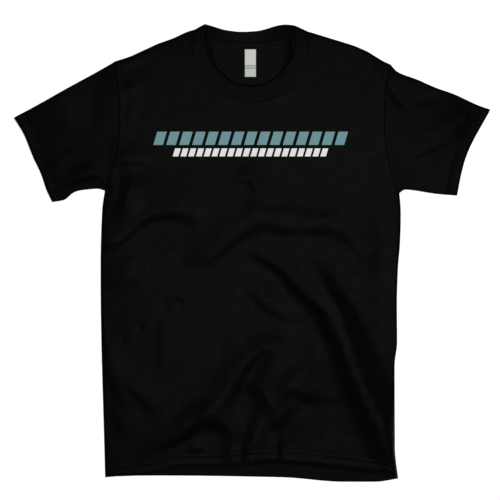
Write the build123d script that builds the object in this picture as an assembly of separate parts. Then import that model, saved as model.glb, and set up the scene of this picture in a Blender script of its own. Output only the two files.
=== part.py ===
from build123d import *
import os
from math import cos, radians, sin, sqrt, tan

# A plain crew-neck T-shirt with short sleeves, laid flat with its front up.
# Millimetres. X runs across the chest, Y from hem to collar, Z up from the table.
# The origin is on the table, midway across the chest and midway along the length.

# Body
garment_length = 704.0      # collar top to back hem, laid flat
chest_width = 458.0         # underarm to underarm
waist_width = 464.0
hem_width = 454.0
shoulder_width = 428.0      # between the two sleeve seams, at the shoulders
shoulder_slope = 22.2       # degrees below level
armhole_depth = 195.0       # shoulder tip down to the underarm
armhole_curve = 17.0        # how far the sleeve seam bows in towards the chest
underarm_bevel = 9.0        # each corner under an arm is eased by this much

# Neck
neck_seam_radius = 92.0     # where the rib is sewn to the front
rib_width = 25.0
neck_centre_drop = 27.0     # neck's centre below the top of the collar
back_rib_dip = 12.8         # how far the back rib's top edge sags below the collar's top
back_rib_show = 15.5        # width of the back rib as it stands, seen from above
back_seam_rise = 17.0       # how far the back neck seam climbs towards the shoulders
tape_width = 6.6
label_width = 19.0
label_length = 45.0

# Sleeves. Each is laid at its own angle, as hands leave them.
sleeve_length = 173.0       # along the top fold
cuff_width = 143.0
# side: (sign of X, drop of the top fold in degrees, lean of the cuff in degrees)
sleeve_lay = {"left": (-1, 28.9, 23.9), "right": (1, 23.5, 22.2)}

# Hems
hem_depth = 20.0
cuff_hem_depth = 17.0
front_rise_middle = 24.0    # how far the front hem lies above the back hem
front_rise_side = 5.0

# Thickness and loft
cloth = 1.2                 # one layer of jersey
rib_extra = 0.8             # the rib is double, so it stands this much prouder
tape_thickness = 0.8
label_thickness = 0.5
# The front's rise from a closed edge: a tight turn, a soft roll and then the level cloth
edge_height = 3.4
turn_width = 2.4            # widths are distances in from the edge
turn_height = 5.8
roll_width = 10.0
roll_height = 7.8
loft_width = 42.0
loft_height = 12.6
clear_run = 20.0            # beyond the loft, where outlines and cutters run past the cloth's ends

# Slack folds of the front. Seen along its run, a fold is gentle on its left and steep on its right.
fold_height = 8.0           # full height of a crest above the level cloth
fold_root = 6.0             # how far its form runs on below the level cloth
fold_gentle = 34.0          # half width on the left, at the root of a full fold
fold_steep = 20.0           # half width on the right
fold_crown = 4.0            # half width of the crest
# Stations of each crest: share of the half chest, share of the length up from the hem, share of the full
# height. A fold starts and ends under the level cloth.
front_folds = {
    "long": [(0.02, 0.51, -0.4), (0.22, 0.465, 0.5), (0.42, 0.408, 1.0), (0.58, 0.356, 1.0),
             (0.66, 0.290, 1.0), (0.74, 0.215, 0.9), (0.83, 0.140, 0.5), (0.90, 0.085, -0.4)],
    "arc": [(-0.43, 0.435, -0.4), (-0.22, 0.512, 0.6), (0.01, 0.564, 0.8), (0.18, 0.566, 0.7),
            (0.40, 0.555, 0.5), (0.62, 0.546, 0.3), (0.78, 0.500, -0.4)],
    "low": [(-0.33, 0.130, -0.4), (-0.15, 0.195, 0.5), (0.05, 0.262, 0.7), (0.24, 0.298, 0.5),
            (0.38, 0.318, -0.4)],
    "tent": [(-0.78, 0.035, -0.4), (-0.55, 0.078, 0.3), (-0.41, 0.109, 0.7), (-0.27, 0.131, 0.9),
             (-0.13, 0.111, 0.6), (-0.02, 0.075, -0.4)],
    "hem": [(0.06, -0.02, 0.4), (0.04, 0.050, 0.5), (0.05, 0.100, 0.4), (0.12, 0.165, -0.4)]}

# Places that follow from the sizes
loft_rows = [
    (0.0, edge_height), (turn_width, turn_height), (roll_width, roll_height), (loft_width, loft_height)]
past = loft_width + clear_run
top_y = garment_length / 2
hem_y = -garment_length / 2
neck_y = top_y - neck_centre_drop
neck_opening_radius = neck_seam_radius - rib_width
peak_x = sqrt(neck_opening_radius**2 - neck_centre_drop**2)
slope = tan(radians(shoulder_slope))
tip_x = shoulder_width / 2
tip_y = top_y - (tip_x - peak_x) * slope
underarm_y = tip_y - armhole_depth
back_top_y = top_y - back_rib_dip
back_seam_y = back_top_y - back_rib_show
tape_y = back_seam_y - tape_width


def sleeve_corners(side):
    """The four corners of one sleeve, in plan."""
    sign, drop, lean = sleeve_lay[side]
    along = Vector(sign * cos(radians(drop)), -sin(radians(drop)))
    down = Vector(-sign * sin(radians(lean)), -cos(radians(lean)))
    tip = Vector(sign * tip_x, tip_y)
    cuff_top = tip + along * sleeve_length
    cuff_bottom = cuff_top + down * cuff_width
    underarm = Vector(sign * chest_width / 2, underarm_y)
    return dict(tip=tip, cuff_top=cuff_top, cuff_bottom=cuff_bottom, underarm=underarm)


def beyond(start, end, distance):
    """The point past the end of a line, or short of it where the distance is negative."""
    return end + (end - start).normalized() * distance


def outline_half(side):
    """One half of the shirt in plan, from the hem up to the shoulder tip. Hem and cuff run
    on past their ends, so that only the folded edges shape the loft."""
    sign = sleeve_lay[side][0]
    at = sleeve_corners(side)
    hem_corner = Vector(sign * hem_width / 2, hem_y)
    waist = Vector(sign * waist_width / 2, (underarm_y + hem_y) / 2)
    return [
        beyond(waist, hem_corner, past),
        waist,
        beyond(waist, at["underarm"], -underarm_bevel),
        beyond(at["cuff_bottom"], at["underarm"], -underarm_bevel),
        beyond(at["underarm"], at["cuff_bottom"], past),
        beyond(at["tip"], at["cuff_top"], past),
        at["tip"]]


def inset(points, depth):
    """A ring of points moved in from its edges by a depth, corner for corner."""
    moved = []
    for i, point in enumerate(points):
        before = (point - points[i - 1]).normalized()
        after = (points[(i + 1) % len(points)] - point).normalized()
        side_1, side_2 = (Vector(-run.Y, run.X) for run in (before, after))
        moved.append(point + (side_1 + side_2) * (depth / (1 + side_1.dot(side_2))))
    return moved


def crest_form(stations):
    """One fold of the front: sections across its crest, each as wide as it is high, lofted along it."""
    places = [Vector(across * chest_width / 2, hem_y + up * garment_length) for across, up, _ in stations]
    sections = []
    for i, (place, (_, _, share)) in enumerate(zip(places, stations)):
        run = (places[min(i + 1, len(places) - 1)] - places[max(i - 1, 0)]).normalized()
        left = Vector(-run.Y, run.X)
        rise = fold_root + share * fold_height
        size = rise / (fold_root + fold_height)
        root = place + Vector(0, 0, loft_height - fold_root)
        crest = root + Vector(0, 0, rise)
        sections.append(make_face(Polyline(
            root + left * fold_gentle * size, crest + left * fold_crown * size,
            crest - left * fold_crown * size, root - left * fold_steep * size, close=True)))
    return loft(sections, ruled=True)


def laid_loft(points, layers):
    """The shirt as slack cloth lies: a soft fold round every closed edge, a rise to a level top
    and the front's folds on it. More layers give the same form that much further in."""
    step = layers * cloth
    rows = [(depth, height) for depth, height in loft_rows if height > 2 * step]
    rows.insert(0, (rows[0][0], 2 * step))
    sections = []
    for depth, height in rows:
        ring = Polyline(*inset(points, depth + step), close=True)
        sections.append(Pos(0, 0, height - step) * make_face(ring))
    return loft(sections, ruled=True) + [Pos(0, 0, -step) * crest_form(run) for run in front_folds.values()]


def upright(face, low=-past, high=past):
    """A plan face stood up between two heights."""
    return Pos(0, 0, low) * extrude(face, high - low)


def closed(*runs):
    """A plan face inside runs of edges that meet end to end."""
    return make_face([edge for run in runs for edge in run.edges()])


def sleeve_side(side):
    """Plan area on the sleeve's side of the sleeve seam."""
    sign = sleeve_lay[side][0]
    at = sleeve_corners(side)
    middle = (at["tip"] + at["underarm"]) * 0.5 - Vector(sign * armhole_curve, 0)
    above = at["tip"] + Vector(sign * past / 4, past)
    below = at["underarm"] + Vector(sign * past, -past)
    far_x = at["cuff_top"].X + sign * 2 * past
    return closed(
        ThreePointArc(at["tip"], middle, at["underarm"]),
        Polyline(at["underarm"], below, (far_x, below.Y), (far_x, above.Y), above, at["tip"]))


def cuff_strip(side, start, end):
    """Plan strip across the sleeve, between two distances in from the cuff's edge."""
    at = sleeve_corners(side)
    down = (at["cuff_bottom"] - at["cuff_top"]).normalized()
    inward = Vector(down.Y, -down.X) * sleeve_lay[side][0]
    high = at["cuff_top"] - down * past
    low = at["cuff_bottom"] + down * past
    return make_face(Polyline(
        high + inward * start, low + inward * start,
        low + inward * end, high + inward * end, close=True))


def below_front_line(rise):
    """Plan area below a curve that lies a rise above the front hem's edge."""
    half = hem_width / 2
    side = hem_y + front_rise_side + rise
    middle = hem_y + front_rise_middle + rise
    reach = half + past
    floor = hem_y - 2 * past
    return closed(
        ThreePointArc((-half, side), (0, middle), (half, side)),
        Polyline((half, side), (reach, side), (reach, floor), (-reach, floor), (-reach, side), (-half, side)))


def below_back_line(rise):
    """Plan area below a level line that lies a rise above the back hem's edge."""
    return Pos(0, hem_y + rise - past) * Rectangle(2 * chest_width, 2 * past)


def above_neck_arc(reach, side_y, middle_y):
    """Plan area above an arc that follows the back of the neck."""
    lid = top_y + past
    return closed(
        ThreePointArc((-reach, side_y), (0, middle_y), (reach, side_y)),
        Polyline((reach, side_y), (reach, lid), (-reach, lid), (-reach, side_y)))


# The whole shirt as laid, with the neck still closed by a gable between the shoulders
gable = Vector(0, tip_y + tip_x * slope)
points = outline_half("right") + [gable] + outline_half("left")[::-1]
outer = laid_loft(points, 0)
inner = laid_loft(points, 1)
single = outer - inner
double = outer - laid_loft(points, 2)
parts = {}

# Sleeves: tubes folded along the top, open at the armhole and the cuff
sleeve_zone = {side: upright(sleeve_side(side)) for side in sleeve_lay}
for side, zone in sleeve_zone.items():
    parts[f"{side}_sleeve"] = (single & zone) - upright(cuff_strip(side, -2 * past, cuff_hem_depth))
    parts[f"{side}_sleeve_hem"] = double & zone & upright(cuff_strip(side, 0, cuff_hem_depth))

# Body: the back lies on the table and the folded edges of the front stand on it
table = Rectangle(3 * chest_width, 3 * garment_length)
above_back = upright(table, cloth)
sleeves = sleeve_zone["left"] + sleeve_zone["right"]
neck_seam = upright(Pos(0, neck_y) * Circle(neck_seam_radius))
back_seam_side_y = back_seam_y + back_seam_rise
above_back_seam = upright(above_neck_arc(neck_seam_radius, back_seam_side_y, back_seam_y))
front_hem_zone = upright(below_front_line(hem_depth))
back_hem_zone = upright(below_back_line(hem_depth))
parts["front_panel"] = (single & above_back) - sleeves - neck_seam - front_hem_zone
parts["back_panel"] = (single - above_back) - sleeves - above_back_seam - back_hem_zone

# Hems: the cloth turned in and double, the front one riding up a little from the back one
back_hem = (double & back_hem_zone) - upright(table, 2 * cloth) - upright(below_back_line(0))
front_hem = (double & front_hem_zone & above_back) - upright(below_front_line(0))
parts["back_hem"] = back_hem
parts["front_hem"] = front_hem - back_hem

# Neck rib: one double ring, lying on the front, folded at the shoulders, standing at the back
neck_opening = upright(Pos(0, neck_y) * Circle(neck_opening_radius))
proud = outer + Pos(0, 0, rib_extra) * outer
front_rib = ((proud - inner) & above_back & neck_seam) - neck_opening
back_rib = outer & above_back_seam & neck_seam & upright(table, 0, cloth + rib_extra)
back_rib -= upright(above_neck_arc(peak_x, top_y, back_top_y))
parts["neck_rib"] = front_rib + back_rib

# Inside the back of the neck: the tape over the seam, and a woven label hung from the tape
above_tape = above_neck_arc(neck_seam_radius, back_seam_side_y - tape_width, tape_y)
tape = upright(above_tape, cloth, cloth + tape_thickness)
parts["neck_tape"] = (tape & inner & neck_seam) - above_back_seam
label_middle_y = tape_y + (tape_width - label_length) / 2
label_plan = Pos(0, label_middle_y) * Rectangle(label_width, label_length + tape_width)
parts["neck_label"] = upright(label_plan, cloth, cloth + label_thickness) - upright(above_tape)

os.makedirs("parts", exist_ok=True)
for name, shape in parts.items():
    export_step(shape, f"parts/{name}.step")
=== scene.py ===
import bpy
import bmesh
import math
import numpy as np
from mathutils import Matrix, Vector
from mathutils.bvhtree import BVHTree


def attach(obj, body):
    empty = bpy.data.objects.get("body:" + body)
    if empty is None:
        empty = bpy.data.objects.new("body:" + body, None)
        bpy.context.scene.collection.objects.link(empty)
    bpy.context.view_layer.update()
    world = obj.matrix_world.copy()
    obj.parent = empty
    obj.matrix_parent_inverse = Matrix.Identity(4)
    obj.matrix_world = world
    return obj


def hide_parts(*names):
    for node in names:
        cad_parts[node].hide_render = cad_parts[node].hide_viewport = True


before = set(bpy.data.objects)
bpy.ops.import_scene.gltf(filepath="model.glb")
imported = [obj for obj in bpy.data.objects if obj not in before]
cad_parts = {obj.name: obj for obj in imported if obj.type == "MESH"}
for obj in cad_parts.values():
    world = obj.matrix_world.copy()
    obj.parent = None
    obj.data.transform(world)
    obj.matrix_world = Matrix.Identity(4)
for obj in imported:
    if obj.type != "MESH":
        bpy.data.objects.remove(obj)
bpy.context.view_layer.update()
bpy.ops.object.select_all(action="DESELECT")
mm = 0.001
scene = bpy.context.scene
print("frame loaded")


def hexLinear(text):
    parts = [int(text[i:i + 2], 16) / 255 for i in (1, 3, 5)]
    return [c / 12.92 if c <= 0.04045 else ((c + 0.055) / 1.055) ** 2.4 for c in parts] + [1.0]


def addNode(tree, kind, settings=None, inputs=None, links=None):
    node = tree.nodes.new(kind)
    for name, value in (settings or {}).items():
        setattr(node, name, value)
    for name, value in (inputs or {}).items():
        node.inputs[name].default_value = value
    for name, source in (links or {}).items():
        tree.links.new(source, node.inputs[name])
    return node


def newMaterial(name):
    material = bpy.data.materials.new(name)
    material.use_nodes = True
    material.node_tree.nodes.clear()
    return material, material.node_tree


# how many points a line gets where a smooth one is drawn through it
samples = {"smooth": 600, "fold": 40, "edge": 60, "seam": 80, "stitches": 400}
rippleWaves = {"perOctave": 5, "sizes": (0.7, 1.4)}


def smoothRun(t, v, x):
    # cubic run through the values, with slopes that never overshoot
    d = np.diff(v) / np.diff(t)
    both = d[:-1] * d[1:]
    inner = np.where(both > 0, 2 * both / np.where(d[:-1] + d[1:] == 0, 1, d[:-1] + d[1:]), 0)
    m = np.r_[d[0], inner, d[-1]]
    i = np.clip(np.searchsorted(t, x) - 1, 0, len(t) - 2)
    h = t[i + 1] - t[i]
    s = (x - t[i]) / h
    return ((1 + 2 * s) * (1 - s) ** 2 * v[i] + s * (1 - s) ** 2 * h * m[i]
            + s * s * (3 - 2 * s) * v[i + 1] + s * s * (s - 1) * h * m[i + 1])


def along(points, count):
    # points on a smooth line through the given ones, evenly spaced or at given shares
    p = np.array(points, float)
    step = np.r_[0, np.cumsum(np.linalg.norm(np.diff(p, axis=0), axis=1))]
    fine = np.linspace(0, step[-1], samples["smooth"])
    line = np.stack([smoothRun(step, p[:, k], fine) for k in range(p.shape[1])], 1)
    run = np.r_[0, np.cumsum(np.linalg.norm(np.diff(line, axis=0), axis=1))]
    share = np.linspace(0, 1, count) if np.isscalar(count) else np.asarray(count)
    return np.stack([np.interp(share * run[-1], run, line[:, k]) for k in range(p.shape[1])], 1)


def lineLength(points):
    return float(np.linalg.norm(np.diff(np.array(points, float), axis=0), axis=1).sum())


def lineDistance(xy, points):
    # distance to a line, side of it (left of travel is plus) and share of the way along
    p = np.array(points, float)
    run = np.r_[0, np.cumsum(np.linalg.norm(np.diff(p, axis=0), axis=1))]
    best, side, place = np.full(len(xy), np.inf), np.ones(len(xy)), np.zeros(len(xy))
    for k in range(len(p) - 1):
        leg, rel = p[k + 1] - p[k], xy - p[k]
        t = np.clip(rel @ leg / (leg @ leg), 0, 1)
        d = np.hypot(*(rel - t[:, None] * leg).T)
        near = d < best
        best = np.where(near, d, best)
        side = np.where(near, np.sign(leg[0] * rel[:, 1] - leg[1] * rel[:, 0]), side)
        place = np.where(near, (run[k] + t * np.linalg.norm(leg)) / run[-1], place)
    return best, side, place


def ripple(xy, size, seed, octaves=3):
    # smooth seeded unevenness from a few turned waves
    rng = np.random.default_rng(seed)
    total = np.zeros(len(xy))
    for octave in range(octaves):
        for _ in range(rippleWaves["perOctave"]):
            turn, phase = rng.uniform(0, 2 * math.pi, 2)
            k = 2 * math.pi / (size * rng.uniform(*rippleWaves["sizes"]) / 2 ** octave)
            run = xy[:, 0] * math.cos(turn) + xy[:, 1] * math.sin(turn)
            total += np.sin(run * k + phase) / 2 ** octave / rippleWaves["perOctave"]
    return total


def ease(x):
    x = np.clip(x, 0, 1)
    return x * x * (3 - 2 * x)


def spanned(values, place):
    return np.interp(place, np.linspace(0, 1, len(values)), values)


# the shirt's lines as it lies, in millimetres from the middle of the shirt
lay = {
    "sideLeft": [(-226, 90), (-230, 56), (-232, -29), (-225, -351)],
    "sideRight": [(231, 88), (233, 56), (232, 17), (228.5, -29), (227, -80), (227.4, -139), (223.4, -178),
                  (224, -310), (229, -352)],
    "armLeft": [(-226, 90), (-212, 136), (-206, 166), (-203, 201), (-203, 231), (-211, 294)],
    "armRight": [(231, 88), (226, 98), (217, 122), (211, 152), (207, 181), (207, 219), (211, 254),
                 (218, 289)],
    "shoulderLeft": [(-211, 294), (-186, 302), (-143, 322), (-121, 329.5), (-100, 339.5), (-68, 350)],
    "shoulderRight": [(218, 289), (204, 295.5), (182, 309.5), (160, 319), (64, 348.5)],
    "topLeft": [(-211, 294), (-320, 231), (-366, 207)],
    "topRight": [(218, 289), (228, 278.5), (258, 267), (290, 253), (312, 245.5), (355, 226), (372, 220)],
    "cuffLeft": [(-307, 76), (-315, 94), (-324, 120), (-337, 148), (-351, 183), (-366, 208)],
    "cuffRight": [(320, 86), (327, 123), (335, 150), (372, 220)],
    "underLeft": [(-226, 90), (-238, 93.5), (-264, 92), (-273, 89.5), (-290, 78), (-307, 76)],
    "underRight": [(231, 88), (240, 94), (290, 88), (320, 86)],
    "hemFront": [(-225, -348.5), (-164, -345.5), (-106, -332), (-42, -331), (39, -324), (67, -326),
                 (200, -342), (229, -351)],
    "hemBack": [(-225, -350), (-190, -347.8), (-143, -347.4), (48, -350), (145, -357), (193, -357),
                (229, -352)],
    "backSeam": [(-97, 338), (-64, 329), (-31, 325), (0, 323), (31, 325), (62, 331), (93, 339)],
    "backTop": [(-70, 349.5), (-35, 341.7), (-13, 339.7), (9, 340.7), (52, 349), (67.5, 347.5)],
    "ribOuter": [(-97, 338), (-97, 316), (-92, 295), (-82, 275), (-65, 257), (-43, 243), (-19, 234),
                 (6, 232), (33, 238.5), (60, 252), (79, 271), (91, 293), (96, 315), (93, 339)],
    "ribInner": [(-70, 349.5), (-70, 330), (-64, 308), (-53, 287), (-36, 269.5), (-17, 259.5), (1, 257.5),
                 (18, 260), (36, 269), (53, 287), (64, 307), (67.5, 327), (67.5, 347.5)],
    "neck": (0, 325),  # middle of the opening
    "neckPeak": (-2, 376),  # where the uncut panels end, above the opening
}
closedEdges = ["sideLeft", "sideRight", "shoulderLeft", "shoulderRight",
               "topLeft", "topRight", "underLeft", "underRight"]

# each step of slack cloth: its line, with the high side on the left of travel, then values spread evenly
# along it: heights, half widths of the steep face, and how far the high side runs before it is level again
steps = [
    # the arc below the chest, with a fainter one above its middle and a nip above that
    ([(-82, -36), (-69, -23), (-41, -1), (-16, 20), (4, 32), (18, 36), (61, 31), (111, 31), (136, 24),
      (157, 8), (170, -13), (185, -38)],
     (0, 3.4, 4.5, 5.1, 4.7, 4.3, 4.5, 4.6, 4.3, 3.8, 2.8, 0),
     (9, 10, 10.5, 10.5, 10.5, 8), (36, 36, 40, 46, 46, 40)),
    ([(168, 84), (142, 68), (129, 62), (108, 59), (70, 62), (30, 65), (8, 72), (-8, 80)],
     (0.6, 1.4, 2.0, 2.0, 1.8, 2.2, 1.8, 0), (8,), (34,)),
    ([(-28, 107), (-14, 108), (-3, 106), (5, 93), (9, 84)], (0, 2.2, 3.6, 3.4, 0), (6,), (16,)),
    # the short fold and the ones where the cloth is drawn together below it
    ([(-20, -28), (-10, -46), (6, -68), (26, -91), (52, -105), (76, -112), (92, -116)],
     (0, 2.4, 4.0, 4.2, 3.6, 2.4, 0), (13, 11, 7), (26, 20)),
    ([(27, -130), (25, -154), (24, -176), (22, -198), (19, -220)], (0, 7.2, 7.2, 4.0, 0), (20,), (60,)),
    ([(-12, -203), (0, -212), (14, -225), (27, -242), (34, -256), (32, -272), (27, -290)],
     (0, 4.8, 7.6, 6.6, 3.6, 1.4, 0), (10, 12, 8), (40,)),
    ([(11, -212), (9, -240), (-2, -276), (-11, -308), (-13, -345)],
     (0, 5.6, 6.8, 6.0, 3.2), (13, 13, 10), (22,)),
    ([(-21, -345), (-20, -310), (-20, -280), (-17, -266)], (2.4, 3.6, 2.6, 0), (4.5,), (14,)),
    ([(50, -345), (46, -312), (46, -284), (40, -270)], (3.0, 4.2, 3.4, 0), (4.5,), (16,)),
    ([(34, -280), (44, -268), (54, -256), (66, -243)], (0, 2.8, 2.4, 0), (6,), (16,)),
    ([(56, -210), (66, -217), (79, -225), (95, -230), (111, -232), (126, -232)],
     (0, 3.4, 4.2, 3.0, 1.6, 0), (7,), (24,)),
    # the dip below the start of the long fold
    ([(74, -68), (64, -58), (49, -38), (27, -20), (6, -7), (-10, 4)],
     (0, -2.0, -4.0, -4.2, -3.4, 0), (8, 8, 6), (44,)),
    # the tent at the hem
    ([(-174, -324), (-134, -302), (-100, -286), (-85, -275), (-69, -265), (-54, -269), (-31, -285),
      (-18, -298)],
     (0, 2.6, 5.0, 7.5, 7.5, 4.5, 0), (6, 7, 10, 10, 6), (22,)),
    ([(-104, -304), (-86, -309), (-68, -308)], (0, 2.4, 0), (4,), (10,)),
    # the left side
    ([(-240, 0), (-218, 4), (-200, 12), (-184, 25), (-171, 38), (-157, 48), (-142, 53), (-124, 54),
      (-104, 52), (-92, 42), (-84, 30)],
     (9.0, 8.5, 6.0, 4.4, 3.6, 4.8, 5.6, 5.4, 5.4, 3.6, 0), (10, 8, 6, 6, 8, 9, 9, 7), (42,)),
    ([(-236, -62), (-211, -56), (-184, -49), (-152, -44)], (2.4, 3.6, 2.8, 0), (10,), (30,)),
    ([(-196, 119), (-196, 103), (-199, 84), (-206, 62), (-211, 34)], (0, 5.6, 4.6, 2.0, 0), (9, 7), (15,)),
    ([(-216, 132), (-196, 133), (-170, 135), (-146, 137)], (0, 3.4, 2.6, 0), (7,), (22,)),
    ([(-234, -176), (-222, -193), (-212, -210), (-202, -230), (-190, -252)],
     (4.4, 4.4, 3.2, 2.0, 0), (8, 7), (24,)),
    ([(-200, -202), (-188, -213), (-172, -227), (-158, -245), (-146, -262)],
     (0, 2.4, 2.8, 2.4, 0), (7,), (24,)),
    ([(-226, -242), (-214, -258), (-198, -282), (-186, -296)], (1.0, 2.0, 1.6, 0), (9,), (24,)),
    ([(-140, -96), (-142, -122), (-143, -150), (-144, -170), (-146, -194)],
     (0, 0.9, 1.3, 1.3, 0), (7,), (24,)),
    # shoulders and chest
    ([(-212, 284), (-199, 288), (-176, 292), (-145, 304), (-128, 311)],
     (3.0, 3.4, 2.6, 1.4, 0), (7,), (14,)),
    ([(-202, 246), (-190, 244), (-170, 236)], (0, 2.6, 0), (6,), (14,)),
    ([(-198, 204), (-186, 203), (-172, 206)], (0, 2.0, 0), (5,), (14,)),
    ([(187, 300), (191, 277), (195, 255), (197, 238)], (0, 2.6, 1.6, 0), (5,), (14,)),
    # left sleeve: stepped down from the armhole, rolled under the arm
    ([(-230, 280), (-236, 240), (-237, 205), (-232, 168)], (1.8, 3.2, 2.8, 0), (11,), (24,)),
    ([(-316, 128), (-300, 133), (-265, 136), (-250, 138)], (0, 1.4, 1.3, 0), (7,), (20,)),
    ([(-310, 116), (-294, 120), (-276, 128)], (0, 1.6, 0), (6,), (14,)),
    ([(-304, 92), (-287, 99), (-265, 109), (-236, 114), (-224, 112)], (2.4, 3.6, 5.2, 5.0, 0), (5,), (16,)),
    # right sleeve
    ([(270, 168), (290, 177), (306, 185), (326, 190)], (0, 1.4, 1.5, 0), (5,), (18,)),
    ([(240, 138), (251, 142), (267, 150), (281, 156), (304, 164), (322, 171)],
     (0, 1.6, 2.7, 2.7, 2.0, 0), (4,), (24,)),
    ([(316, 164), (325, 188), (340, 206), (352, 220)], (0, 4.6, 4.6, 0), (10,), (30,)),
]
# the long fold: level between its two brows, which close to a sharp ridge that runs to the hem corner,
# with a slope to the lower left of one brow and a steeper one, long at its foot, up right of the other
longFold = {
    "lowerBrow": [(2, 6), (30, -10), (54, -26), (66, -42), (86, -63), (104, -79), (121, -98), (133, -122),
                  (142, -140), (153, -168), (169, -207), (184, -239), (200, -273), (218, -317), (230, -346)],
    "upperBrow": [(62, 0), (90, -22), (104, -37), (114, -56), (125, -75), (137, -95), (145, -121),
                  (151, -138), (160, -166), (175, -206), (191, -237), (208, -270), (225, -314), (237, -343)],
    "heights": (0, 1.8, 6.0, 10.5, 13.0, 14.0, 14.5, 14.5, 14.5, 14.0, 12.5),
    "lowerReach": (10, 12, 13, 14, 17, 20, 23, 24, 23, 20),
    "upperReach": (60, 34, 22, 26, 33, 39, 40, 32, 24, 20),
    "lowerPower": 1.85,
    "upperPower": 1.8,
    "crown": 5.2,
    "edgeReach": 3.5,
}
# ridges and dents: crest, heights, then the reach on the left and on the right of travel
ridges = [
    # from the short fold down to the tent
    ([(90, -116), (80, -127), (52, -135), (24, -145), (2, -162), (-16, -183), (-40, -222), (-58, -246),
      (-76, -268)],
     (0, 3.6, 5.2, 6.0, 6.4, 6.4, 6.0, 4.0, 0), (10, 9, 9, 9, 10, 13, 14, 14), 22),
    # the shallow trough along the right side
    ([(205, 66), (205, 20), (203, -30), (202, -92), (201, -150), (199, -180)],
     (0, -2.6, -3.2, -3.2, -2.4, 0), 11, 20),
    # small creases of the left side
    ([(-213, 120), (-212, 96), (-217, 64)], (0, 3.0, 0), 6, 6),
    ([(-129, -98), (-128, -120), (-127, -148)], (0, 1.0, 0), 9, 9),
    ([(-188, 50), (-174, 60), (-158, 69), (-142, 75)], (0, -0.8, -0.6, 0), 5, 5),
    ([(-134, -77), (-129, -84), (-124, -92)], (0, -2.6, 0), 4, 4),
    ([(-108, -72), (-111, -79), (-115, -87)], (0, -2.6, 0), 4, 4),
    ([(-178, -108), (-171, -119), (-165, -131)], (0, -2.0, 0), 3, 3),
    ([(-204, -132), (-198, -136), (-190, -138)], (0, -1.8, 0), 6, 6),
    # right sleeve
    ([(214, 266), (217, 253), (225, 240), (239, 225), (250, 214)], (0, -2.4, -2.6, -2.2, 0), 4, 4),
    ([(238, 234), (258, 236), (276, 236), (296, 241)], (0, -1.6, -1.8, 0), 6, 6),
]
slack = {"edge": 1.7, "roll": 2.0, "rollWidth": 1.5, "rise": 3.3, "riseWidth": 32, "insideReach": 12,
         "crestRound": 3, "crestPower": 1.5, "hemLift": 2.4, "hemReach": 30,
         "wave": 0.7, "waveSize": 130, "waveSeed": 4, "crumple": 0.42, "crumpleSize": 38, "crumpleSeed": 9}
sleeveTop = {"lift": 10.0, "from": 158, "over": 84, "middle": -300, "lean": 0.1,
             "armSide": -222, "armOver": 70}
neckEdge = {"swell": 0.5, "swellAt": 97, "press": 0.8, "pressFrom": 90, "width": 4}


def lineStep(xy, points, widths):
    # 0 on the low side of a line, 1 on its high side, with the distance past its face and the place along it
    dist, side, place = lineDistance(xy, along(points, samples["fold"]))
    w = spanned(widths, place)
    return ease((dist * side / w + 1) / 2), np.maximum(dist * side - w, 0), place


def longFoldHeight(xy):
    dist, side, place = lineDistance(xy, along(longFold["lowerBrow"], samples["edge"]))
    below = np.where(side < 0, dist, 0) / spanned(longFold["lowerReach"], place)
    dist, side, share = lineDistance(xy, along(longFold["upperBrow"], samples["edge"]))
    above = np.hypot(np.where(side > 0, dist, 0), longFold["crown"]) - longFold["crown"]
    above = np.clip(1 - above / spanned(longFold["upperReach"], share), 0, 1)
    fall = np.exp(-below ** longFold["lowerPower"]) * above ** longFold["upperPower"]
    return spanned(longFold["heights"], place) * fall


def clothHeight(xy):
    # slack cloth: rises from every folded edge, then come the folds and a little unevenness
    x, y = xy[:, 0], xy[:, 1]
    d = np.min([lineDistance(xy, lay[line])[0] for line in closedEdges], axis=0)
    inside = 1 - np.exp(-d / slack["insideReach"])
    z = slack["edge"] + slack["roll"] * (1 - np.exp(-d / slack["rollWidth"]))
    z += slack["rise"] * (1 - np.exp(-d / slack["riseWidth"]))
    for points, heights, widths, runs in steps:
        face, past, place = lineStep(xy, points, widths)
        z += spanned(heights, place) * face * np.exp(-(past / spanned(runs, place)) ** 2) * inside
    z += longFoldHeight(xy) * (1 - np.exp(-d / longFold["edgeReach"]))
    for points, heights, left, right in ridges:
        dist, side, place = lineDistance(xy, along(points, samples["fold"]))
        reach = np.where(side > 0, spanned(np.atleast_1d(left), place), right)
        away = (np.hypot(dist, slack["crestRound"]) - slack["crestRound"]) / reach
        z += spanned(heights, place) * np.exp(-away ** slack["crestPower"]) * inside
    z += inside * (slack["wave"] * ripple(xy, slack["waveSize"], slack["waveSeed"])
                   + slack["crumple"] * ripple(xy, slack["crumpleSize"], slack["crumpleSeed"], 2))
    # the left sleeve's top fold stands off the table, so that its upper part leans
    up = ease((y - sleeveTop["from"] + (x - sleeveTop["middle"]) * sleeveTop["lean"]) / sleeveTop["over"])
    z += sleeveTop["lift"] * up * ease((sleeveTop["armSide"] - x) / sleeveTop["armOver"])
    z += slack["hemLift"] * inside * np.exp(-lineDistance(xy, lay["hemFront"])[0] / slack["hemReach"])
    r = np.hypot(x - lay["neck"][0], y - lay["neck"][1])
    swell = neckEdge["swell"] * np.exp(-((r - neckEdge["swellAt"]) / neckEdge["width"]) ** 2)
    z += inside * (swell - neckEdge["press"] * ease((neckEdge["pressFrom"] - r) / neckEdge["width"]))
    return np.maximum(z, slack["edge"])


# closer rows at the hem, closer columns at the sides and at both ends of a sleeve: each run of cells has
# its length, then the size of its fine cells and how far they reach
weave = {"coarse": 5.4, "hem": (442, 2.4, 32), "armhole": (102, 1.8, 9), "side": (229, 1.9, 11.4),
         "cuff": (120, 2.4, 29), "arm": (40, 3.2, 13),
         "armShare": 0.688,  # how far up a panel its armhole starts
         "armPart": 0.25}  # how far along a sleeve its two runs meet


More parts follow.
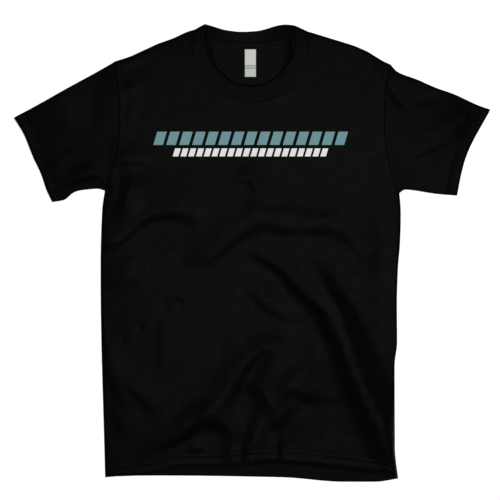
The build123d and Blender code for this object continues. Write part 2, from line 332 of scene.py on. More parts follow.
def spread(run):
    length, fine, fineRun = weave[run]
    fineCells = np.full(int(round(fineRun / fine)), fine)
    coarseCells = np.full(int(round((length - fineRun) / weave["coarse"])), weave["coarse"])
    cells = np.r_[fineCells, coarseCells]
    return np.r_[0, np.cumsum(cells) / cells.sum()]


low = spread("hem") * weave["armShare"]
fold = spread("armhole") / 2
armShares = np.r_[fold, 1 - fold[-2::-1]]
rowShares = np.r_[low, weave["armShare"] + armShares[1:] * (1 - weave["armShare"])]
armRow = len(low) - 1
half = spread("side") / 2
columnShares = np.r_[half, 1 - half[-2::-1]]
sleeveShares = np.r_[spread("arm") * weave["armPart"], 1 - spread("cuff")[-2::-1] * (1 - weave["armPart"])]


def selectOnly(*pieces):
    bpy.ops.object.select_all(action="DESELECT")
    for piece in pieces:
        piece.select_set(True)
    bpy.context.view_layer.objects.active = pieces[0]


def readPoints(piece):
    points = np.zeros(len(piece.data.vertices) * 3)
    piece.data.vertices.foreach_get("co", points)
    return points.reshape(-1, 3)


def writePoints(piece, points):
    piece.data.vertices.foreach_set("co", points.ravel())
    piece.data.update()


def meshPiece(name, points, faces):
    mesh = bpy.data.meshes.new(name)
    mesh.from_pydata(points, [], faces)
    piece = bpy.data.objects.new(name, mesh)
    scene.collection.objects.link(piece)
    return piece


def laySheet(name, plan, z, cut):
    # a grid laid on its plan, with the flat pattern kept as its UV map, in metres
    bpy.ops.object.select_all(action="DESELECT")
    rows, columns = plan.shape[:2]
    bpy.ops.mesh.primitive_grid_add(x_subdivisions=columns - 1, y_subdivisions=rows - 1, size=1)
    piece = bpy.context.active_object
    piece.name = piece.data.name = name
    writePoints(piece, np.dstack([plan, np.broadcast_to(z, (rows, columns))]).reshape(-1, 3) * mm)
    index = np.zeros(len(piece.data.loops), int)
    piece.data.loops.foreach_get("vertex_index", index)
    piece.data.uv_layers.active.data.foreach_set("uv", (cut.reshape(-1, 2)[index] * mm).ravel())
    return piece


def faceWay(piece, up):
    total = sum(f.normal.z * f.area for f in piece.data.polygons)
    if (total > 0) != up:
        piece.data.flip_normals()


def bodyPlan(hem):
    v, u = rowShares[:, None], columnShares[None, :]
    hemLine = np.array(lay[hem], float)

    def sideLine(lower, upper, end):
        table = np.array(lay[lower][::-1] + lay[upper][1:], float)
        y = hemLine[end, 1] + (table[-1, 1] - hemLine[end, 1]) * rowShares
        return smoothRun(table[:, 1], table[:, 0], y)[:, None]

    x = sideLine("sideLeft", "armLeft", 0) * (1 - u) + sideLine("sideRight", "armRight", -1) * u
    hemX = hemLine[0, 0] + (hemLine[-1, 0] - hemLine[0, 0]) * columnShares
    yLow = smoothRun(hemLine[:, 0], hemLine[:, 1], hemX)
    top = np.array(lay["shoulderLeft"] + [lay["neckPeak"]] + lay["shoulderRight"][::-1], float)
    yHigh = np.interp(top[0, 0] + (top[-1, 0] - top[0, 0]) * columnShares, top[:, 0], top[:, 1])
    return np.dstack([x, yLow[None, :] + (yHigh - yLow)[None, :] * v])


def sleevePlan(body, side):
    # stretched between the armhole, the cuff and the two folded edges
    arm = body[armRow:, 0 if side == "Left" else -1][:, None, :]
    t = armShares[:, None, None]
    s = sleeveShares[None, :, None]
    cuff = along(lay["cuff" + side], armShares)[:, None, :]
    under = along(lay["under" + side], sleeveShares)[None, :, :]
    top = along(lay["top" + side], sleeveShares)[None, :, :]
    under = under + (arm[:1] - under[:, :1]) * (1 - s)
    top = top + (arm[-1:] - top[:, :1]) * (1 - s)
    corners = (1 - s) * ((1 - t) * arm[:1] + t * arm[-1:]) + s * ((1 - t) * cuff[:1] + t * cuff[-1:])
    return (1 - s) * arm + s * cuff + (1 - t) * under + t * top - corners


def planHeight(plan):
    return clothHeight(plan.reshape(-1, 2)).reshape(plan.shape[:2])


def deleteFaces(piece, test):
    bm = bmesh.new()
    bm.from_mesh(piece.data)
    bmesh.ops.delete(bm, geom=[f for f in bm.faces if test(f.calc_center_median() / mm)], context="FACES")
    bm.to_mesh(piece.data)
    bm.free()


def applyModifier(piece, kind, **settings):
    selectOnly(piece)
    modifier = piece.modifiers.new(kind.lower(), kind)
    for name, value in settings.items():
        setattr(modifier, name, value)
    bpy.ops.object.modifier_apply(modifier=modifier.name)


sewn = {"hemRows": (13.0, 19.5), "backRow": 10.0, "cuffRows": (11.0, 16.0), "groove": (0.45, 0.35),
        "backGroove": 0.3, "cuffGroove": (0.3, 0.75), "grooveWidth": 1.4, "puff": 0.5, "rowPuff": 0.3,
        "edgeRoll": 1.8, "edgeWidth": 1.9, "seamDip": 0.22, "neckDip": 0.4, "seamWidth": 1.3,
        "seamRidge": 0.2, "ridgeAt": 4.5, "ridgeWidth": 2.5, "lowest": 1.85}


def finishSheet(piece, thickness, press=None, pressFrom=0.9):
    # smoothed, pressed where it is sewn, though never into the table, and given its thickness
    applyModifier(piece, "SUBSURF", levels=1, render_levels=1, boundary_smooth="PRESERVE_CORNERS")
    if press:
        points = readPoints(piece)
        z = points[:, 2]
        pressed = z + press(points[:, :2] / mm) * mm * (z > pressFrom * mm)
        points[:, 2] = np.maximum(pressed, np.minimum(z, sewn["lowest"] * mm))
        writePoints(piece, points)
    applyModifier(piece, "SOLIDIFY", thickness=thickness * mm, offset=-1)
    bpy.ops.object.shade_smooth()


def turnedHem(d, rows, depths):
    # a turned hem: a soft band with a rolled edge and a groove along each stitch row
    between = np.clip((d - rows[0]) / (rows[1] - rows[0]), 0, 1)
    band = sewn["puff"] * np.sin(np.clip(d / rows[0], 0, 1) * math.pi)
    band = band + sewn["rowPuff"] * np.sin(between * math.pi)
    grooves = sum(depth * np.exp(-((d - row) / sewn["grooveWidth"]) ** 2)
                  for row, depth in zip(rows, depths))
    return band - grooves - sewn["edgeRoll"] * np.exp(-(d / sewn["edgeWidth"]) ** 2)


def sewnSeam(xy, line):
    d = lineDistance(xy, line)[0]
    ridge = sewn["seamRidge"] * np.exp(-((d - sewn["ridgeAt"]) / sewn["ridgeWidth"]) ** 2)
    return ridge - sewn["seamDip"] * np.exp(-(d / sewn["seamWidth"]) ** 2)


def pressFront(xy):
    hem = lineDistance(xy, along(lay["hemFront"], samples["seam"]))[0]
    neck = lineDistance(xy, along(lay["ribOuter"], samples["seam"]))[0]
    topStitch = -sewn["neckDip"] * np.exp(-(neck / sewn["seamWidth"]) ** 2)
    seams = sum(sewnSeam(xy, lay[line]) for line in ("armLeft", "armRight", "ribOuter"))
    return turnedHem(hem, sewn["hemRows"], sewn["groove"]) + topStitch + seams


def pressBack(xy):
    d = lineDistance(xy, along(lay["hemBack"], samples["seam"]))[0]
    return -sewn["backGroove"] * np.exp(-((d - sewn["backRow"]) / sewn["grooveWidth"]) ** 2)


def pressSleeve(side):
    def press(xy):
        d = lineDistance(xy, along(lay["cuff" + side], samples["edge"]))[0]
        return turnedHem(d, sewn["cuffRows"], sewn["cuffGroove"]) + sewnSeam(xy, lay["arm" + side])
    return press


settleCloth = {"frames": 8, "quality": 8, "gravity": 0.04, "stiffness": 60.0, "damping": 10.0,
               "bending": 10.0, "bendingDamping": 1.0, "air": 2.0, "bedTop": 0.8, "gap": 1.0, "share": 0.35}


def settle(piece):
    # the laid cloth, held at its edges, sinks and creases under its own weight over the back
    bm = bmesh.new()
    bm.from_mesh(piece.data)
    held = [v.index for v in bm.verts if v.is_boundary]
    bm.free()
    piece.vertex_groups.new(name="held").add(held, 1.0, "REPLACE")
    laid = readPoints(piece)
    bpy.ops.mesh.primitive_plane_add(size=2, location=(0, 0, settleCloth["bedTop"] * mm))
    bed = bpy.context.active_object
    bed.modifiers.new("bed", "COLLISION")
    bed.collision.thickness_outer = settleCloth["gap"] * mm
    cloth = piece.modifiers.new("settle", "CLOTH")
    fabric = cloth.settings
    fabric.quality = settleCloth["quality"]
    for way in ("tension", "compression", "shear"):
        setattr(fabric, way + "_stiffness", settleCloth["stiffness"])
        setattr(fabric, way + "_damping", settleCloth["damping"])
    fabric.bending_stiffness = settleCloth["bending"]
    fabric.bending_damping = settleCloth["bendingDamping"]
    fabric.air_damping = settleCloth["air"]
    fabric.vertex_group_mass = "held"
    fabric.effector_weights.gravity = settleCloth["gravity"]
    cloth.collision_settings.distance_min = settleCloth["gap"] * mm
    cloth.point_cache.frame_end = settleCloth["frames"]
    for step in range(1, settleCloth["frames"] + 1):
        scene.frame_set(step)
    selectOnly(piece)
    bpy.ops.object.modifier_apply(modifier="settle")
    scene.frame_set(1)
    bpy.data.objects.remove(bed)
    piece.vertex_groups.clear()
    # a few frames sink the folds too far, so the cloth stops part of the way
    writePoints(piece, laid + (readPoints(piece) - laid) * settleCloth["share"])


# front: one panel with its hem, its neck edge drawn to a round
frontCloth = {"thickness": 0.9, "neckCut": 83, "neckReach": 7, "top": 352}
frontPlan = bodyPlan("hemFront")
front = laySheet("frontPanel", frontPlan, planHeight(frontPlan), frontPlan)
faceWay(front, True)
neckX, neckY = lay["neck"]
deleteFaces(front, lambda c: math.hypot(c.x - neckX, c.y - neckY) < frontCloth["neckCut"]
            or c.y > frontCloth["top"])
bm = bmesh.new()
bm.from_mesh(front.data)
neckMiddle = Vector((neckX, neckY)) * mm
for v in bm.verts:
    away = v.co.xy - neckMiddle
    if v.is_boundary and away.length < (frontCloth["neckCut"] + frontCloth["neckReach"]) * mm:
        v.co.xy = neckMiddle + away.normalized() * frontCloth["neckCut"] * mm
bm.to_mesh(front.data)
bm.free()
settle(front)
finishSheet(front, frontCloth["thickness"], pressFront)
print("front laid", len(front.data.polygons))

# back: lies on the table, seen inside the neck and below the lifted front hem
backCloth = {"thickness": 0.7, "lie": 0.15, "uneven": 0.15, "unevenSize": 90, "unevenSeed": 21,
             "neckHalf": 90, "neckMargin": 4,
             "roll": 1.6, "rollReach": 3.6, "rollUnder": 30, "rollFrom": 6, "rollOver": 14}
backWall = {"height": 8.5, "from": 262, "over": 58, "crest": 3, "outside": 3, "inside": 1.6,
            "widenLeft": 5.0, "widenRight": 7.5, "widenFrom": 285, "widenOver": 50}
backPlan = bodyPlan("hemBack")


def neckWall(xy):
    # inside the neck the back climbs to the folded shoulders, steeply at the sides of the opening
    x, y = xy[:, 0], xy[:, 1]
    d, side, _ = lineDistance(xy, along(lay["ribInner"], samples["edge"]))
    within = d * side + backWall["crest"]
    widen = np.where(x < 0, backWall["widenLeft"], backWall["widenRight"])
    inner = backWall["inside"] + widen * ease((y - backWall["widenFrom"]) / backWall["widenOver"])
    reach = np.where(within < 0, backWall["outside"], inner)
    climb = ease((y - backWall["from"]) / backWall["over"])
    return backWall["height"] * climb * np.exp(-np.abs(within) / reach)


def hemRoll(xy):
    # the back swells a little under the front's hem, where that is lifted clear of it
    gap, side, _ = lineDistance(xy, along(lay["hemFront"], samples["seam"]))
    own = lineDistance(xy, along(lay["hemBack"], samples["seam"]))[0]
    covered = np.exp(-(gap / backCloth["rollUnder"]) ** 2)
    under = np.where(side > 0, covered, 1 - ease(gap / backCloth["rollReach"]))
    room = own + np.where(side > 0, 0, gap) - backCloth["rollFrom"]
    return backCloth["roll"] * under * ease(room / backCloth["rollOver"])


flatBack = backPlan.reshape(-1, 2)
backWaves = 1 + ripple(flatBack, backCloth["unevenSize"], backCloth["unevenSeed"], 2)
backRise = backCloth["lie"] + backCloth["uneven"] * backWaves + neckWall(flatBack) + hemRoll(flatBack)
back = laySheet("backPanel", backPlan, backRise.reshape(backPlan.shape[:2]), backPlan)
faceWay(back, False)
seamTable = np.array(lay["backSeam"], float)
deleteFaces(back, lambda c: abs(c.x) < backCloth["neckHalf"]
            and c.y > np.interp(c.x, seamTable[:, 0], seamTable[:, 1]) + backCloth["neckMargin"])
finishSheet(back, backCloth["thickness"], pressBack, 0)
print("back laid", len(back.data.polygons))

# sleeves: tubes folded along the top and under the arm
sleeveCloth = {"thickness": 0.8, "lie": 0.15, "cutLength": 160, "cutHalf": 195, "merge": 0.01}
sleeves = {}
for side in ("Left", "Right"):
    plan = sleevePlan(frontPlan, side)
    upper = planHeight(plan)
    under = np.full(upper.shape, sleeveCloth["lie"])
    under[0], under[-1] = upper[0], upper[-1]
    acrossArm, downArm = np.meshgrid(sleeveShares * sleeveCloth["cutLength"],
                                     armShares * sleeveCloth["cutHalf"])
    piece = laySheet(side.lower() + "Sleeve", plan, upper, np.dstack([downArm, acrossArm]))
    faceWay(piece, True)
    settle(piece)
    other = laySheet(side.lower() + "SleeveUnder", plan, under, np.dstack([-downArm, acrossArm]))
    faceWay(other, False)
    selectOnly(piece, other)
    bpy.ops.object.join()
    bpy.ops.object.mode_set(mode="EDIT")
    bpy.ops.mesh.select_all(action="SELECT")
    bpy.ops.mesh.remove_doubles(threshold=sleeveCloth["merge"] * mm)
    bpy.ops.object.mode_set(mode="OBJECT")
    finishSheet(piece, sleeveCloth["thickness"], pressSleeve(side))
    sleeves[side] = piece
print("sleeves laid")

# neck rib: one doubled ring of rib knit, flat on the front, folded at the shoulders, standing at the back
rib = {"stations": 900, "section": 24, "frontShare": 0.68, "thickness": 1.8, "around": 52, "sewnAt": 0.2,
       "ribs": 190, "ribDepth": 0.2, "square": (0.5, 0.6), "outward": 0.05, "seamSink": 0.9, "freeSink": 0.5,
       "backLie": 1.0, "wallShare": 0.25, "backRise": 3.6, "shoulder": 11.0, "shoulderRun": 0.22,
       "stand": 15.0, "frontCorner": 0.015, "leftCorner": 0.17, "rightCorner": 0.26,
       "curl": 3.4, "curlFrom": 0.89, "lowest": 0.3}


def ribRing():
    n, m = rib["stations"], rib["section"]
    nFront = int(n * rib["frontShare"])
    nBack = n - nFront
    seamEdge, freeEdge = along(lay["ribOuter"], nFront), along(lay["ribInner"], nFront)
    sewnEdge = seamEdge + (freeEdge - seamEdge) * rib["sewnAt"]
    outer = np.r_[sewnEdge, along(lay["backSeam"][::-1], nBack + 2)[1:-1]]
    inner = np.r_[freeEdge, along(lay["backTop"][::-1], nBack + 2)[1:-1]]
    s = np.arange(n)
    onFront = s < nFront
    frontEnds = np.minimum(s, nFront - 1 - s) / nFront
    ends = np.where(onFront, frontEnds, np.minimum(s - nFront + 1, n - s) / nBack)
    frontZ = clothHeight(outer + (outer - np.array(lay["neck"])) * rib["outward"])
    # the back of the ring stands steeply at the shoulder folds, further along on the right
    backCorner = np.where(outer[:, 0] < 0, rib["leftCorner"], rib["rightCorner"])
    corner = np.exp(-(ends / np.where(onFront, rib["frontCorner"], backCorner)) ** 2)
    zOuter = np.where(onFront, frontZ - rib["seamSink"], rib["backLie"] + rib["wallShare"] * neckWall(outer))
    shoulder = rib["shoulder"] * (1 - ease(ends / rib["shoulderRun"]))
    zInner = np.where(onFront, np.maximum(frontZ - rib["freeSink"], shoulder), rib["backRise"])
    zInner += (rib["stand"] - zInner) * corner
    # a flattened oval section: thin where it is sewn on, curled under at the free edge
    turn = np.arange(m) / m * 2 * math.pi
    flatX = np.sign(np.cos(turn)) * np.abs(np.cos(turn)) ** rib["square"][0]
    flatZ = np.sign(np.sin(turn)) * np.abs(np.sin(turn)) ** rib["square"][1]
    q = 0.5 + 0.5 * flatX
    knit = np.cos(2 * math.pi * rib["ribs"] * s / n)[:, None] * rib["ribDepth"] * np.abs(flatZ)[None, :] ** 2
    plan = outer[:, None, :] + (inner - outer)[:, None, :] * q[None, :, None]
    curled = ease((q - rib["curlFrom"]) / (1 - rib["curlFrom"]))[None, :]
    curl = np.where(onFront, rib["curl"], 0)[:, None] * curled
    middle = zOuter[:, None] + (zInner - zOuter)[:, None] * q[None, :] - curl
    z = middle + flatZ[None, :] * (rib["thickness"] / 2 + knit) + rib["thickness"] / 2
    xyz = np.dstack([plan, np.maximum(z, rib["lowest"])]).reshape(-1, 3)
    faces = [(i * m + k, i * m + (k + 1) % m, (i + 1) % n * m + (k + 1) % m, (i + 1) % n * m + k)
             for i in range(n) for k in range(m)]
    piece = meshPiece("neckRib", (xyz * mm).tolist(), faces)
    length = lineLength(outer)
    flat = np.array([[(i + (c in (2, 3))) / n * length, (k + (c in (1, 2))) / m * rib["around"]]
                     for i in range(n) for k in range(m) for c in range(4)])
    piece.data.uv_layers.new(name="cut").data.foreach_set("uv", (flat * mm).ravel())
    return piece


neckRib = ribRing()
selectOnly(neckRib)
bpy.ops.object.mode_set(mode="EDIT")
bpy.ops.mesh.select_all(action="SELECT")
bpy.ops.mesh.normals_make_consistent(inside=False)
bpy.ops.object.mode_set(mode="OBJECT")
bpy.ops.object.shade_smooth()
print("rib made")

# tape over the back neck seam
tape = {"width": 6.6, "thickness": 0.7, "lie": 1.4, "crown": 0.15, "overlap": 1.0,
        "stations": 61, "endsCut": 3, "rows": 5,
        "stitchRows": (0.6, 4.2), "stitchPoints": 200, "stitchEnds": 30}
seam = along(lay["backSeam"], tape["stations"])[tape["endsCut"]:-tape["endsCut"]]
acrossTape = np.linspace(0, 1, tape["rows"])[:, None, None]
tapePlan = seam[None, :, :] - np.array([0, tape["width"]]) * acrossTape + np.array([0, tape["overlap"]])
tapeRise = neckWall(tapePlan.reshape(-1, 2)).reshape(tapePlan.shape[:2])
tapeZ = tape["lie"] + tape["crown"] * np.sin(acrossTape[:, :, 0] * math.pi) + tapeRise
neckTape = laySheet("neckTape", tapePlan, tapeZ, tapePlan)
faceWay(neckTape, True)
finishSheet(neckTape, tape["thickness"])

# woven label, hung from the tape and a little lifted at its free end
label = {"width": 17.2, "length": 41.5, "tuck": 1.5, "top": 313, "lie": 2.2, "lift": 2.2, "bow": 0.5,
         "thickness": 0.4, "columns": 13, "rows": 25, "bandsFrom": 268, "bandsTo": 320, "weft": 1.0,
         "rough": 0.5, "specular": 0.3}
labelX = np.linspace(-0.5, 0.5, label["columns"]) * label["width"]
labelY = label["top"] - np.linspace(0, 1, label["rows"]) * (label["length"] + label["tuck"])
labelPlan = np.dstack(np.meshgrid(labelX, labelY))
drop = (label["top"] - labelPlan[:, :, 1]) / label["length"]
bow = label["bow"] * np.cos(labelPlan[:, :, 0] / label["width"] * math.pi) * drop
neckLabel = laySheet("neckLabel", labelPlan, label["lie"] + label["lift"] * drop ** 2 + bow, labelPlan)
faceWay(neckLabel, True)
finishSheet(neckLabel, label["thickness"])
print("tape and label made")

# stitches: short raised threads laid along rows on the cloth
thread = {"length": 2.7, "pitch": 3.4, "width": 0.75, "height": 0.45, "proud": 0.1,
          "probe": 60,  # the height from which the cloth is felt for
          "hemEnds": 4, "cuffEnds": 6, "neckEnds": 12,  # points left out at both ends of a row
          "colour": "#060606", "pale": "#0b0b0b", "rough": 0.5, "specular": 0.03, "twist": 1.1111}


def surfaceOf(piece):
    mesh = piece.data
    points = [v.co.copy() for v in mesh.vertices]
    return BVHTree.FromPolygons(points, [tuple(p.vertices) for p in mesh.polygons])


def offsetLine(points, distance, endsCut):
    # a line beside the given one, to the left of travel, without its first and last few points
    line = along(points, samples["stitches"])
    run = np.gradient(line, axis=0)
    run /= np.linalg.norm(run, axis=1)[:, None]
    return (line + np.c_[-run[:, 1], run[:, 0]] * distance)[endsCut:-endsCut]


def stitchRows(name, rows):
    # one thread shape, a low six-sided loaf, copied along every row
    bpy.ops.object.select_all(action="DESELECT")
    bpy.ops.mesh.primitive_cylinder_add(vertices=6, radius=0.5, depth=1, rotation=(0, math.pi / 2, 0))
    seed = bpy.context.active_object
    bpy.ops.object.transform_apply(rotation=True)
    shape = np.array([v.co[:] for v in seed.data.vertices])
    polys = [tuple(p.vertices) for p in seed.data.polygons]
    bpy.data.objects.remove(seed)
    shape *= np.array([thread["length"], thread["width"], thread["height"]])
    shape[:, 2] += thread["proud"]
    verts, faces = [], []
    for line, surface in rows:
        places = along(line, int(lineLength(line) / thread["pitch"]))
        for x, y, dx, dy in np.c_[places, np.gradient(places, axis=0)]:
            hit, normal, _, _ = surface.ray_cast(Vector((x, y, thread["probe"])) * mm, Vector((0, 0, -1)))
            if hit is None:
                continue
            run = Vector((dx, dy, 0)).normalized()
            run = (run - normal * run.dot(normal)).normalized()
            side = normal.cross(run)
            start = len(verts)
            verts += [hit + (run * p[0] + side * p[1] + normal * p[2]) * mm for p in shape]
            faces += [tuple(start + i for i in poly) for poly in polys]
    return meshPiece(name, verts, faces)


frontSurface = surfaceOf(front)
hemLines = [(offsetLine(lay["hemFront"], d, thread["hemEnds"]), frontSurface) for d in sewn["hemRows"]]
hemLines += [(offsetLine(lay["hemBack"], sewn["backRow"], thread["hemEnds"]), surfaceOf(back))]
bodyStitches = stitchRows("hemStitches", hemLines)
cuffStitches = {}
for side, way in (("Left", -1), ("Right", 1)):
    surface = surfaceOf(sleeves[side])
    cuffLines = [offsetLine(lay["cuff" + side], d * way, thread["cuffEnds"]) for d in sewn["cuffRows"]]
    cuffStitches[side] = stitchRows(side.lower() + "CuffStitches", [(line, surface) for line in cuffLines])
neckLine = offsetLine(lay["ribOuter"], 0, thread["neckEnds"])
neckStitches = stitchRows("neckStitches", [(neckLine, frontSurface)])
tapeLine = along(lay["backSeam"], tape["stitchPoints"])[tape["stitchEnds"]:-tape["stitchEnds"]]
tapeSurface = surfaceOf(neckTape)
tapeStitches = stitchRows("tapeStitches", [(tapeLine + (0, -d), tapeSurface) for d in tape["stitchRows"]])
print("stitches sewn", len(bodyStitches.data.polygons))

# black cotton jersey: dyed knit cotton, matt, with fine upright wales and a faint fuzz
# the inside and sleeve specular levels are set below the body's as painted shade
jersey = {"colour": "#010101", "pale": "#080808", "rough": (0.4, 0.6), "specular": 0.0187, "inside": 0.0175,
          "sleeves": {"Left": 0.0143, "Right": 0.0155}, "wale": 3.2, "mottle": 7.6923,
          "teal": "#70989e", "white": "#eeeeed"}
jerseyMat, tree = newMaterial("Black_cotton_jersey")
out = addNode(tree, "ShaderNodeOutputMaterial")
cut = addNode(tree, "ShaderNodeUVMap", {"uv_map": front.data.uv_layers.active.name})
# the knit is drawn about 3 mm wide and 6 mm long where real loops are under 1 mm, so that it shows
loops = addNode(tree, "ShaderNodeMapping", None,
                {"Scale": (1000 / jersey["wale"], 500 / jersey["wale"], 1)}, {"Vector": cut.outputs["UV"]})
wales = addNode(tree, "ShaderNodeTexNoise", None, {"Scale": 1.0, "Detail": 1.0, "Roughness": 0.5},
                {"Vector": loops.outputs["Vector"]})
mottle = addNode(tree, "ShaderNodeTexNoise", None,
                 {"Scale": 1000 / jersey["mottle"], "Detail": 4.0, "Roughness": 0.75},
                 {"Vector": cut.outputs["UV"]})
tone = addNode(tree, "ShaderNodeMix", {"data_type": "RGBA"},
               {"A": hexLinear(jersey["colour"]), "B": hexLinear(jersey["pale"])},
               {"Factor": mottle.outputs["Fac"]})
bump = addNode(tree, "ShaderNodeBump", None, {"Strength": 0.3, "Distance": 0.0004},
               {"Height": wales.outputs["Fac"]})
fuzz = addNode(tree, "ShaderNodeBump", None, {"Strength": 0.35, "Distance": 0.0006},
               {"Height": mottle.outputs["Fac"], "Normal": bump.outputs["Normal"]})
smoothest, roughest = jersey["rough"]
nap = addNode(tree, "ShaderNodeMapRange", None,
              {"From Min": 0.25, "From Max": 0.75, "To Min": smoothest, "To Max": roughest},
              {"Value": mottle.outputs["Fac"]})
cotton = addNode(tree, "ShaderNodeBsdfPrincipled", None, {"Specular IOR Level": jersey["specular"]},
                 {"Base Color": tone.outputs["Result"], "Roughness": nap.outputs["Result"],
                  "Normal": fuzz.outputs["Normal"]})
tree.links.new(cotton.outputs["BSDF"], out.inputs["Surface"])

# the same jersey from inside, where the purl loops are duller; its lower specular level is also painted
# shade, darkening the back inside the neck and below the lifted front hem, and the neck tape
insideShadeMat = jerseyMat.copy()
insideShadeMat.name = "Black_cotton_jersey_inside_shaded"
insideShadeMat.node_tree.nodes[cotton.name].inputs["Specular IOR Level"].default_value = jersey["inside"]

# painted shade: the same jersey on the sleeves with a lower specular level than the body, the left one
# lowest, so that the sleeves render darker
sleeveShadeMats = {}
for side, level in jersey["sleeves"].items():
    sleeveShadeMats[side] = jerseyMat.copy()
    sleeveShadeMats[side].name = "Black_cotton_jersey_" + side.lower() + "_sleeve"
    sleeveShadeMats[side].node_tree.nodes[cotton.name].inputs["Specular IOR Level"].default_value = level

# printed front: the same jersey with two rows of plain slanted blocks in screen ink
frontMat = jerseyMat.copy()
frontMat.name = "Black_cotton_jersey_printed"
tree = frontMat.node_tree
cut, cotton, tone, mottle = (tree.nodes[node.name] for node in (cut, cotton, tone, mottle))
split = addNode(tree, "ShaderNodeSeparateXYZ", None, None, {"Vector": cut.outputs["UV"]})
printSlant = 0.3
printRows = [{"ink": "teal", "x": (-150, 150), "y": (164.5, 185), "pitch": 20.0, "share": 0.74},
             {"ink": "white", "x": (-120, 120), "y": (146.8, 159.2), "pitch": 12.0, "share": 0.72}]
colour = tone.outputs["Result"]
for row in printRows:
    start = row["x"][0] - printSlant * row["y"][0]
    width = row["x"][1] - row["x"][0] - 1  # ends before the next block would start
    rise = addNode(tree, "ShaderNodeMath", {"operation": "MULTIPLY"}, {1: -printSlant},
                   {0: split.outputs["Y"]})
    lean = addNode(tree, "ShaderNodeMath", {"operation": "ADD"}, None,
                   {0: split.outputs["X"], 1: rise.outputs[0]})
    place = addNode(tree, "ShaderNodeMath", {"operation": "SUBTRACT"}, {1: start * mm}, {0: lean.outputs[0]})
    count = addNode(tree, "ShaderNodeMath", {"operation": "DIVIDE"}, {1: row["pitch"] * mm},
                    {0: place.outputs[0]})
    part = addNode(tree, "ShaderNodeMath", {"operation": "FRACT"}, None, {0: count.outputs[0]})
    mask = addNode(tree, "ShaderNodeMath", {"operation": "LESS_THAN"}, {1: row["share"]},
                   {0: part.outputs[0]})
    limits = [("GREATER_THAN", split.outputs["Y"], row["y"][0]),
              ("LESS_THAN", split.outputs["Y"], row["y"][1]),
              ("GREATER_THAN", place.outputs[0], 0),
              ("LESS_THAN", place.outputs[0], width)]
    for test, source, limit in limits:
        within = addNode(tree, "ShaderNodeMath", {"operation": test}, {1: limit * mm}, {0: source})
        mask = addNode(tree, "ShaderNodeMath", {"operation": "MULTIPLY"}, None,
                       {0: mask.outputs[0], 1: within.outputs[0]})
    # the ink is a little thinner where the cloth is uneven
    wear = addNode(tree, "ShaderNodeMapRange", None, {"To Min": 0.8, "To Max": 1.05},
                   {"Value": mottle.outputs["Fac"]})
    worn = addNode(tree, "ShaderNodeMath", {"operation": "MULTIPLY"}, None,
                   {0: mask.outputs[0], 1: wear.outputs["Result"]})
    ink = addNode(tree, "ShaderNodeMix", {"data_type": "RGBA"}, {"B": hexLinear(jersey[row["ink"]])},
                  {"Factor": worn.outputs[0], "A": colour})
    colour = ink.outputs["Result"]
tree.links.new(colour, cotton.inputs["Base Color"])

# black rib knit: deeper, closer black, ribs already in the shape
ribKnit = {"colour": "#040404", "pale": "#070707", "rough": 0.5, "specular": 0.0205, "fleck": 3.3333}
ribMat, tree = newMaterial("Black_rib_knit")
out = addNode(tree, "ShaderNodeOutputMaterial")
cut = addNode(tree, "ShaderNodeTexCoord")
mottle = addNode(tree, "ShaderNodeTexNoise", None, {"Scale": 1000 / ribKnit["fleck"], "Detail": 3.0},
                 {"Vector": cut.outputs["Object"]})
tone = addNode(tree, "ShaderNodeMix", {"data_type": "RGBA"},
               {"A": hexLinear(ribKnit["colour"]), "B": hexLinear(ribKnit["pale"])},
               {"Factor": mottle.outputs["Fac"]})
bump = addNode(tree, "ShaderNodeBump", None, {"Strength": 0.3, "Distance": 0.0005},
               {"Height": mottle.outputs["Fac"]})
knit = addNode(tree, "ShaderNodeBsdfPrincipled", None,
               {"Roughness": ribKnit["rough"], "Specular IOR Level": ribKnit["specular"]},
               {"Base Color": tone.outputs["Result"], "Normal": bump.outputs["Normal"]})
tree.links.new(knit.outputs["BSDF"], out.inputs["Surface"])

# polyester sewing thread: black, a little glossier than the cotton, so the rows catch light
threadMat, tree = newMaterial("Black_polyester_thread")
out = addNode(tree, "ShaderNodeOutputMaterial")
cut = addNode(tree, "ShaderNodeTexCoord")
# the twist is drawn about 1 mm long, coarser than spun, so that it shows
twist = addNode(tree, "ShaderNodeTexNoise", None, {"Scale": 1000 / thread["twist"]},
                {"Vector": cut.outputs["Object"]})
tone = addNode(tree, "ShaderNodeMix", {"data_type": "RGBA"},
               {"A": hexLinear(thread["colour"]), "B": hexLinear(thread["pale"])},
               {"Factor": twist.outputs["Fac"]})
shine = addNode(tree, "ShaderNodeBsdfPrincipled", None,
                {"Roughness": thread["rough"], "Specular IOR Level": thread["specular"]},
                {"Base Color": tone.outputs["Result"]})
tree.links.new(shine.outputs["BSDF"], out.inputs["Surface"])

# woven polyester label: satin white, with two grey stripes and a greener foot
labelMat, tree = newMaterial("Woven_polyester_label")
out = addNode(tree, "ShaderNodeOutputMaterial")
cut = addNode(tree, "ShaderNodeTexCoord")
split = addNode(tree, "ShaderNodeSeparateXYZ", None, None, {"Vector": cut.outputs["Object"]})
zones = addNode(tree, "ShaderNodeMapRange", None,
                {"From Min": label["bandsFrom"] * mm, "From Max": label["bandsTo"] * mm},
                {"Value": split.outputs["Y"]})
ramp = addNode(tree, "ShaderNodeValToRGB", None, None, {"Fac": zones.outputs["Result"]})
ramp.color_ramp.interpolation = "CONSTANT"
bands = [(0.0, "#b9c2b6"), (0.285, "#84847e"), (0.315, "#bcbdb7"), (0.355, "#84847e"), (0.385, "#c6c7c1")]
for k, (place, tint) in enumerate(bands):
    stop = ramp.color_ramp.elements[k] if k < 2 else ramp.color_ramp.elements.new(place)
    stop.position = place
    stop.color = hexLinear(tint)
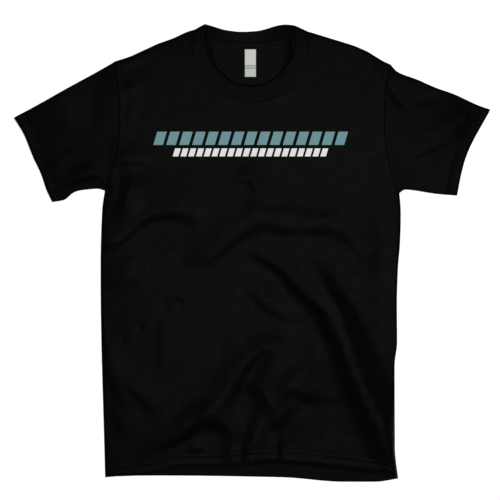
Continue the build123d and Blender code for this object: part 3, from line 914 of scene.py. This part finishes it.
# a wave texture repeats every 2 pi / (20 x scale); the weft is drawn 1 mm apart, coarser than woven, to show
weft = addNode(tree, "ShaderNodeTexWave", {"bands_direction": "Y"},
               {"Scale": 2 * math.pi * 1000 / (20 * label["weft"]), "Distortion": 0.5},
               {"Vector": cut.outputs["Object"]})
bump = addNode(tree, "ShaderNodeBump", None, {"Strength": 0.3, "Distance": 0.0002},
               {"Height": weft.outputs["Fac"]})
satin = addNode(tree, "ShaderNodeBsdfPrincipled", None,
                {"Roughness": label["rough"], "Specular IOR Level": label["specular"]},
                {"Base Color": ramp.outputs["Color"], "Normal": bump.outputs["Normal"]})
tree.links.new(satin.outputs["BSDF"], out.inputs["Surface"])
print("materials mixed")


def dress(piece, material, slot, *nodes):
    piece.data.materials.clear()
    piece.data.materials.append(material)
    if nodes:
        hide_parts(*nodes)
    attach(piece, "root")


dress(front, frontMat, "black_jersey", "front_panel", "front_hem")
dress(back, insideShadeMat, "black_jersey", "back_panel", "back_hem")
dress(sleeves["Left"], sleeveShadeMats["Left"], "black_jersey", "left_sleeve", "left_sleeve_hem")
dress(sleeves["Right"], sleeveShadeMats["Right"], "black_jersey", "right_sleeve", "right_sleeve_hem")
dress(neckRib, ribMat, "black_rib", "neck_rib")
dress(neckTape, insideShadeMat, "black_rib", "neck_tape")
dress(neckLabel, labelMat, "woven_label", "neck_label")
for piece in (bodyStitches, neckStitches, tapeStitches, *cuffStitches.values()):
    dress(piece, threadMat, "black_jersey")

# white paper floor: white to the camera, plain to the light, and it keeps the shadow
paper = {"colour": "#e8e8e8", "glow": 0.35, "size": 6, "level": -0.2}
bpy.ops.object.select_all(action="DESELECT")
bpy.ops.mesh.primitive_plane_add(size=paper["size"], location=(0, 0, paper["level"] * mm))
floor = bpy.context.active_object
floor.name = "floor"
paperMat, tree = newMaterial("White_paper")
out = addNode(tree, "ShaderNodeOutputMaterial")
matt = addNode(tree, "ShaderNodeBsdfDiffuse", None, {"Color": hexLinear(paper["colour"])})
glow = addNode(tree, "ShaderNodeEmission", None, {"Color": (1, 1, 1, 1), "Strength": paper["glow"]})
both = addNode(tree, "ShaderNodeAddShader", None, None, {0: matt.outputs[0], 1: glow.outputs[0]})
ray = addNode(tree, "ShaderNodeLightPath")
glossy = addNode(tree, "ShaderNodeMath", {"operation": "MAXIMUM"}, None,
                 {0: ray.outputs["Is Glossy Ray"], 1: ray.outputs["Is Transmission Ray"]})
direct = addNode(tree, "ShaderNodeMath", {"operation": "MAXIMUM"}, None,
                 {0: ray.outputs["Is Camera Ray"], 1: glossy.outputs[0]})
seen = addNode(tree, "ShaderNodeMixShader", None, None,
               {0: direct.outputs[0], 1: matt.outputs[0], 2: both.outputs[0]})
tree.links.new(seen.outputs[0], out.inputs["Surface"])
floor.data.materials.append(paperMat)

studio = {"fill": 0.05, "key": 104, "keyPlace": (0.3, 0.12, 3.3), "keySize": (1.2, 2.0)}
world = bpy.data.worlds.new("studio")
scene.world = world
world.use_nodes = True
world.node_tree.nodes["Background"].inputs["Color"].default_value = (1, 1, 1, 1)
world.node_tree.nodes["Background"].inputs["Strength"].default_value = studio["fill"]
bpy.ops.object.light_add(type="AREA", location=studio["keyPlace"])
key = bpy.context.active_object
key.data.shape = "RECTANGLE"
key.data.size, key.data.size_y = studio["keySize"]
key.data.energy = studio["key"]
key.rotation_euler = (-Vector(studio["keyPlace"])).to_track_quat("-Z", "Y").to_euler()

# straight down, from where the lens takes in the width of the picture at the level of the cloth
view = {"lens": 85, "sensor": 36, "width": 0.7735, "level": 0.004, "middle": (-0.0006, 0.0022)}
viewHeight = view["level"] + view["width"] * view["lens"] / view["sensor"]
bpy.ops.object.camera_add(location=(*view["middle"], viewHeight), rotation=(0, 0, 0))
camera = bpy.context.active_object
camera.data.lens = view["lens"]
camera.data.sensor_width = view["sensor"]
scene.camera = camera
scene.view_settings.view_transform = "Standard"
print("lit and framed")
